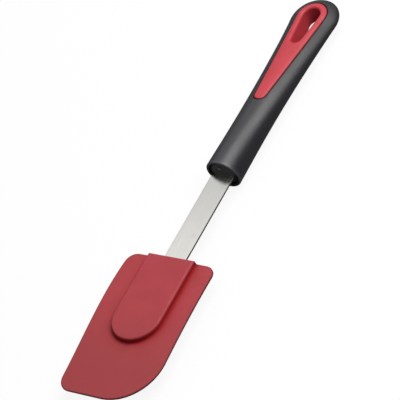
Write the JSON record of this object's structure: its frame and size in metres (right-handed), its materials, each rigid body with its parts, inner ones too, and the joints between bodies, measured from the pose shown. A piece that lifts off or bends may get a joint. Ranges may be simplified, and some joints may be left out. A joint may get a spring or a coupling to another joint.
{
  "type": "silicone spatula",
  "caption": "Kitchen spatula: flexible silicone scraping head on a flat steel shank, hard round handle with a soft inlay and a hanging slot.",
  "frame": {"origin": "under the middle of the tool, at the height of its lowest point, on the centre line of shank and handle", "axes": "+X across the blade, towards the side with the large rounded working corner; +Y along the tool, towards the hanging end; +Z out of the front side, where the inlay is"},
  "size_m": [0.0617, 0.2848, 0.0214],
  "materials": {
    "head_silicone": "satin red silicone",
    "shank_steel": "fine brushed along the strip",
    "handle_plastic": "satin black",
    "inlay_rubber": "soft-touch red"
  },
  "bodies": {
    "root": {"silicone_blade": "head_silicone", "steel_shank": "shank_steel", "handle_body": "handle_plastic", "soft_inlay": "inlay_rubber"}
  },
  "joints": []
}
